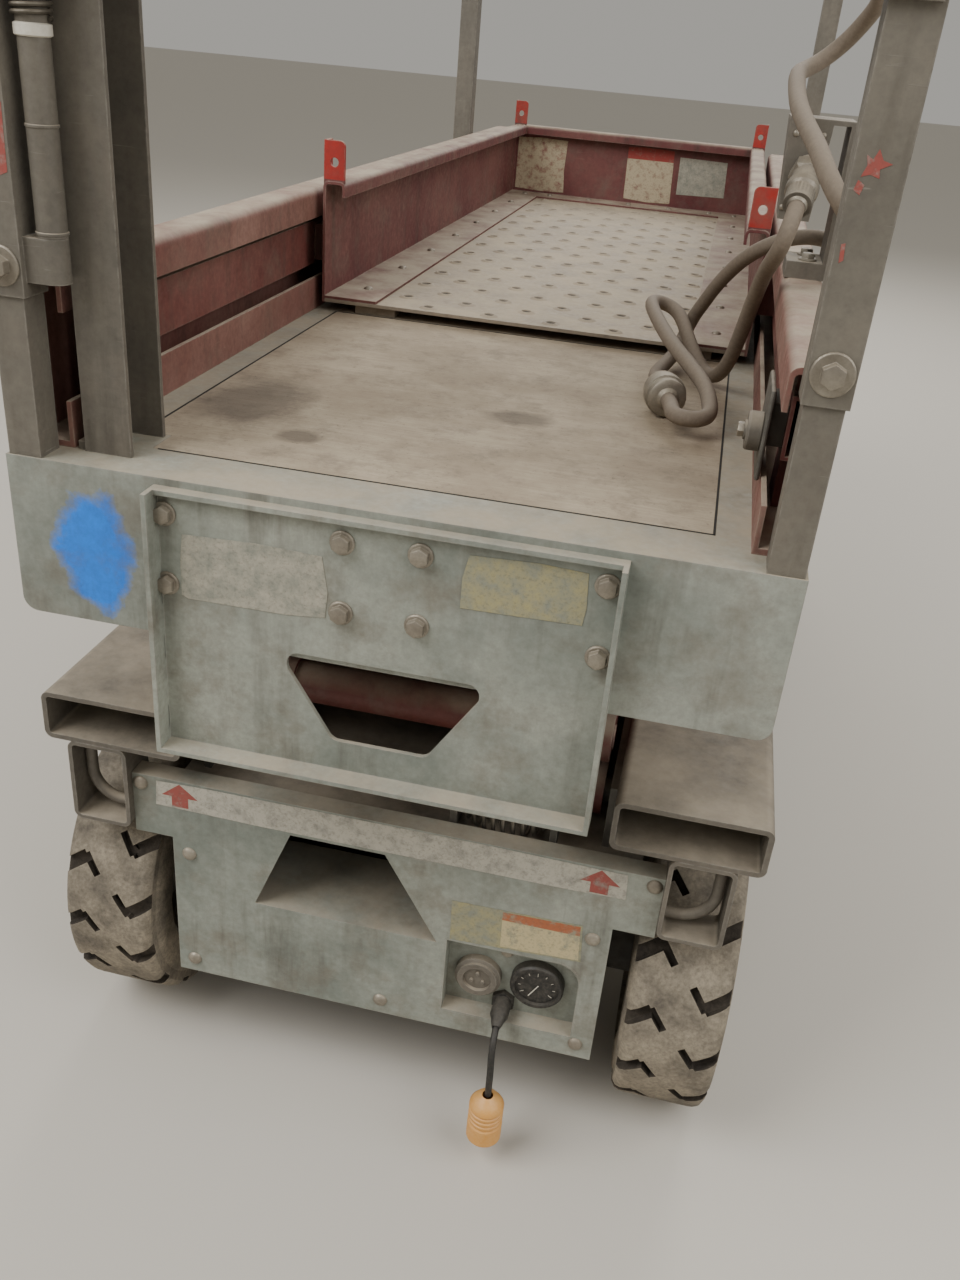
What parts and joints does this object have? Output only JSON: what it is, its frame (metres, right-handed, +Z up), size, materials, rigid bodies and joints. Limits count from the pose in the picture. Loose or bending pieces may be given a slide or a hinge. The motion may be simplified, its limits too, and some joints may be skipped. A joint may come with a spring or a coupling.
{
  "type": "electric slab scissor lift",
  "caption": "Compact scissor lift: solid tyres, folding arm stack, long deck with a roll-out extension, side rails and a rear gate, worn grey and dark red.",
  "frame": {"origin": "on the floor at the middle of the object's box", "axes": "+X to the machine's right, +Y forward from the entry gate to the extension's end, +Z up"},
  "size_m": [0.813, 2.279, 1.9299],
  "materials": {
    "tread_rubber": "dusty, worn solid rubber",
    "rim_paint": "scuffed grey paint",
    "grey_green_paint": "worn semi-gloss grey-green paint",
    "dark_grey_paint": "worn dark grey paint",
    "maroon_paint": "faded dark red paint",
    "plywood": "weathered, oil-stained plywood",
    "bare_steel": "dull worn steel",
    "spring_steel": "dusty spring steel",
    "cylinder_chrome": "plated rod",
    "battery_case": "black moulded case",
    "black_plastic": "matt black",
    "cable_jacket": "dusty grey jacket",
    "cord_jacket": "black jacket",
    "plug_yellow": "yellow-orange moulding"
  },
  "bodies": {
    "chassis": {"chassis_frame": "dark_grey_paint", "chassis_rear_cover": "grey_green_paint", "chassis_front_cover": "grey_green_paint", "charger_panel": "grey_green_paint", "charger_inlet": "black_plastic", "battery_gauge": "black_plastic", "fork_pockets": "dark_grey_paint", "tie_downs": "dark_grey_paint", "coil": "spring_steel", "coil_lugs": "dark_grey_paint", "front_axle": "dark_grey_paint", "tray_hinges": "dark_grey_paint", "pigtail_cord": "cord_jacket", "pigtail_plug": "plug_yellow"},
    "battery_tray": {"battery_tray": "grey_green_paint", "batteries": "battery_case"},
    "hydraulic_tray": {"hydraulic_tray": "grey_green_paint", "hydraulic_unit": "dark_grey_paint"},
    "steer_left": {"knuckle_left": "dark_grey_paint"},
    "steer_right": {"knuckle_right": "dark_grey_paint"},
    "tie_rod": {"tie_rod": "dark_grey_paint"},
    "lift_barrel": {"lift_barrel": "dark_grey_paint"},
    "lift_rod": {"lift_rod": "cylinder_chrome"},
    "platform": {"platform_frame": "grey_green_paint", "deck_plywood": "plywood", "step_plate": "grey_green_paint", "side_channel_left": "maroon_paint", "side_channel_right": "maroon_paint", "guard_rail_left": "dark_grey_paint", "guard_rail_right": "dark_grey_paint", "control_box": "dark_grey_paint", "cable_bracket": "dark_grey_paint", "cable_connector": "bare_steel", "bracket_cable": "cable_jacket", "control_cable": "cable_jacket"},
    "gate": {"gate_frame": "maroon_paint"},
    "extension": {"extension_deck": "bare_steel", "toe_boards": "maroon_paint", "sliding_beam_left": "maroon_paint", "sliding_beam_right": "maroon_paint"},
    "wheel_rear_left": {"tyre_rear_left": "tread_rubber", "rim_rear_left": "rim_paint"},
    "wheel_rear_right": {"tyre_rear_right": "tread_rubber", "rim_rear_right": "rim_paint"},
    "wheel_front_left": {"tyre_front_left": "tread_rubber", "rim_front_left": "rim_paint"},
    "wheel_front_right": {"tyre_front_right": "tread_rubber", "rim_front_right": "rim_paint"},
    "outer_arms_1": {"outer_arms_1": "maroon_paint"},
    "inner_arms_1": {"inner_arms_1": "maroon_paint"},
    "outer_arms_2": {"outer_arms_2": "maroon_paint"},
    "inner_arms_2": {"inner_arms_2": "maroon_paint"},
    "outer_arms_3": {"outer_arms_3": "maroon_paint"},
    "inner_arms_3": {"inner_arms_3": "maroon_paint"},
    "outer_arms_4": {"outer_arms_4": "maroon_paint"},
    "inner_arms_4": {"inner_arms_4": "maroon_paint"}
  },
  "joints": [
    {"name": "roll_rear_left", "type": "hinge", "parent": "chassis", "child": "wheel_rear_left", "pos_m": [-0.34675, -0.8575, 0.203], "axis": [1, 0, 0], "continuous": true},
    {"name": "roll_rear_right", "type": "hinge", "parent": "chassis", "child": "wheel_rear_right", "pos_m": [0.34675, -0.8575, 0.203], "axis": [1, 0, 0], "continuous": true},
    {"name": "roll_front_left", "type": "hinge", "parent": "steer_left", "child": "wheel_front_left", "pos_m": [-0.34675, 0.8585, 0.203], "axis": [1, 0, 0], "continuous": true},
    {"name": "roll_front_right", "type": "hinge", "parent": "steer_right", "child": "wheel_front_right", "pos_m": [0.34675, 0.8585, 0.203], "axis": [1, 0, 0], "continuous": true},
    {"name": "steer_left", "type": "hinge", "parent": "chassis", "child": "steer_left", "pos_m": [-0.24, 0.8585, 0.203], "axis": [0, 0, 1], "range_deg": [-40, 40]},
    {"name": "steer_right", "type": "hinge", "parent": "chassis", "child": "steer_right", "pos_m": [0.24, 0.8585, 0.203], "axis": [0, 0, 1], "range_deg": [-40, 40]},
    {"name": "tie_rod_pin", "type": "hinge", "parent": "steer_left", "child": "tie_rod", "pos_m": [-0.24, 0.9885, 0.1743], "axis": [0, 0, 1], "range_deg": [-40, 40]},
    {"name": "battery_tray_swing", "type": "hinge", "parent": "chassis", "child": "battery_tray", "pos_m": [-0.388, -0.6195, 0.3], "axis": [0, 0, 1], "range_deg": [0, 90]},
    {"name": "hydraulic_tray_swing", "type": "hinge", "parent": "chassis", "child": "hydraulic_tray", "pos_m": [0.388, -0.6195, 0.3], "axis": [0, 0, -1], "range_deg": [0, 90]},
    {"name": "lift", "type": "hinge", "parent": "chassis", "child": "outer_arms_1", "pos_m": [0, -0.9315, 0.455], "axis": [1, 0, 0], "range_deg": [0, 45.4]},
    {"name": "centre_1", "type": "hinge", "parent": "outer_arms_1", "child": "inner_arms_1", "pos_m": [0, 0.00781, 0.491], "axis": [1, 0, 0], "range_deg": [-90.8, 0]},
    {"name": "rear_1", "type": "hinge", "parent": "inner_arms_1", "child": "outer_arms_2", "pos_m": [0, -0.9315, 0.527], "axis": [1, 0, 0], "range_deg": [0, 90.8]},
    {"name": "centre_2", "type": "hinge", "parent": "outer_arms_2", "child": "inner_arms_2", "pos_m": [0, 0.00781, 0.563], "axis": [1, 0, 0], "range_deg": [-90.8, 0]},
    {"name": "rear_2", "type": "hinge", "parent": "inner_arms_2", "child": "outer_arms_3", "pos_m": [0, -0.9315, 0.599], "axis": [1, 0, 0], "range_deg": [0, 90.8]},
    {"name": "centre_3", "type": "hinge", "parent": "outer_arms_3", "child": "inner_arms_3", "pos_m": [0, 0.00781, 0.635], "axis": [1, 0, 0], "range_deg": [-90.8, 0]},
    {"name": "rear_3", "type": "hinge", "parent": "inner_arms_3", "child": "outer_arms_4", "pos_m": [0, -0.9315, 0.671], "axis": [1, 0, 0], "range_deg": [0, 90.8]},
    {"name": "centre_4", "type": "hinge", "parent": "outer_arms_4", "child": "inner_arms_4", "pos_m": [0, 0.00781, 0.707], "axis": [1, 0, 0], "range_deg": [-90.8, 0]},
    {"name": "platform_level", "type": "hinge", "parent": "inner_arms_4", "child": "platform", "pos_m": [0, -0.9315, 0.743], "axis": [1, 0, 0], "range_deg": [0, 45.4]},
    {"name": "cylinder_foot", "type": "hinge", "parent": "inner_arms_1", "child": "lift_barrel", "pos_m": [0, -0.81127, 0.47836], "axis": [1, 0, 0], "range_deg": [0, 89.79]},
    {"name": "cylinder_stroke", "type": "slide", "parent": "lift_barrel", "child": "lift_rod", "axis": [0, 0.97, 0.2432], "range_m": [0, 0.3296]},
    {"name": "gate_swing", "type": "hinge", "parent": "platform", "child": "gate", "pos_m": [-0.309, -1.0935, 1.47], "axis": [0, 0, -1], "range_deg": [0, 100]},
    {"name": "deck_rollout", "type": "slide", "parent": "platform", "child": "extension", "axis": [0, 1, 0], "range_m": [0, 0.9]}
  ],
  "couplings": [
    {"joint": "steer_right", "follows": "steer_left", "ratio": 1},
    {"joint": "tie_rod_pin", "follows": "steer_left", "ratio": -1},
    {"joint": "centre_1", "follows": "lift", "ratio": -2},
    {"joint": "rear_1", "follows": "lift", "ratio": 2},
    {"joint": "centre_2", "follows": "lift", "ratio": -2},
    {"joint": "rear_2", "follows": "lift", "ratio": 2},
    {"joint": "centre_3", "follows": "lift", "ratio": -2},
    {"joint": "rear_3", "follows": "lift", "ratio": 2},
    {"joint": "centre_4", "follows": "lift", "ratio": -2},
    {"joint": "platform_level", "follows": "lift", "ratio": 1},
    {"joint": "cylinder_foot", "follows": "lift", "ratio": 1.9777},
    {"joint": "cylinder_stroke", "follows": "lift", "m_per_rad": 0.41587}
  ]
}
